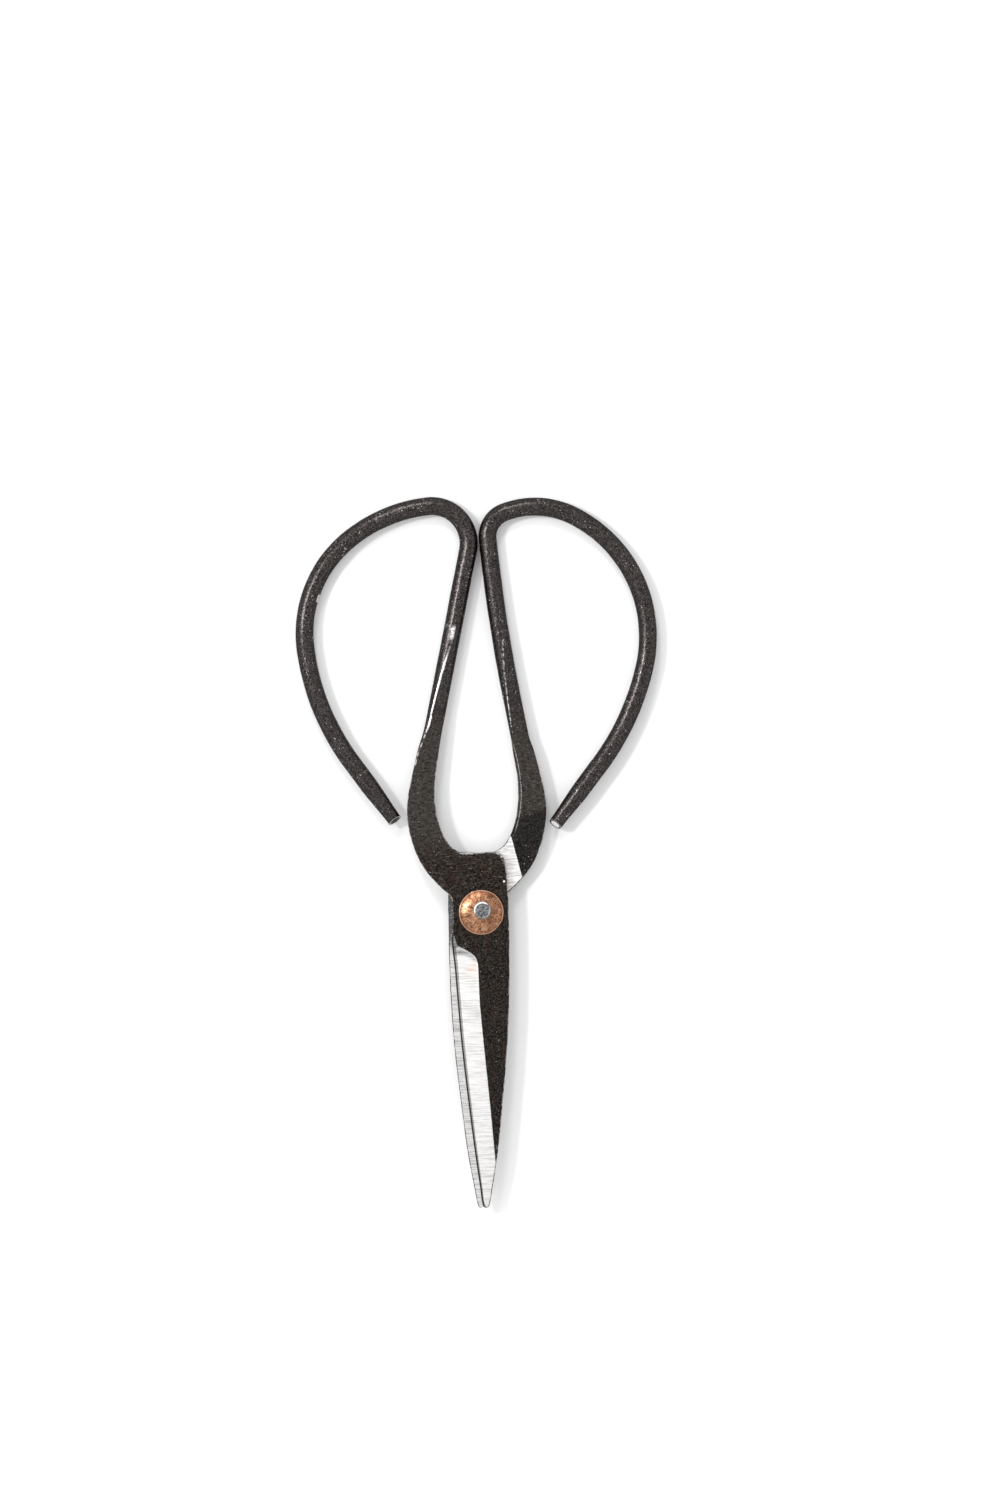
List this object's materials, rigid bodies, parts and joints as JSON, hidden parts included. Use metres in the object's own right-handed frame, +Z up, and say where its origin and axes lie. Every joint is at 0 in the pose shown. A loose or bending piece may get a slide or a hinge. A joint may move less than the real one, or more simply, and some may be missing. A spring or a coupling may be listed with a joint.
{
  "type": "fabric shears",
  "caption": "Hand-forged fabric shears: two bevelled blades on a rivet with copper washers, each shank a round rod bent into an open finger bow.",
  "frame": {"origin": "on the rivet's axis, at the flat lower end of the rivet, which rests on the table", "axes": "+Y along the shears from the rivet towards the bows, with the blades' tips at -Y; +Z up, along the rivet, so the shears lie flat; +X to the right, the side of the lower half's bow"},
  "size_m": [0.0911, 0.1793, 0.0088],
  "materials": {
    "forged_steel": "black forge scale, with ground bright bevels",
    "rivet_steel": "hammered, dull",
    "copper": "brushed copper, lightly tarnished"
  },
  "bodies": {
    "lower": {"lower_half": "forged_steel", "rivet_pin": "rivet_steel", "front_washer": "copper", "back_washer": "copper"},
    "upper": {"upper_half": "forged_steel"}
  },
  "joints": [
    {"name": "blade_pivot", "type": "hinge", "parent": "lower", "child": "upper", "pos_m": [0, 0, 0.0044], "axis": [0, 0, 1], "range_deg": [0, 86]}
  ]
}
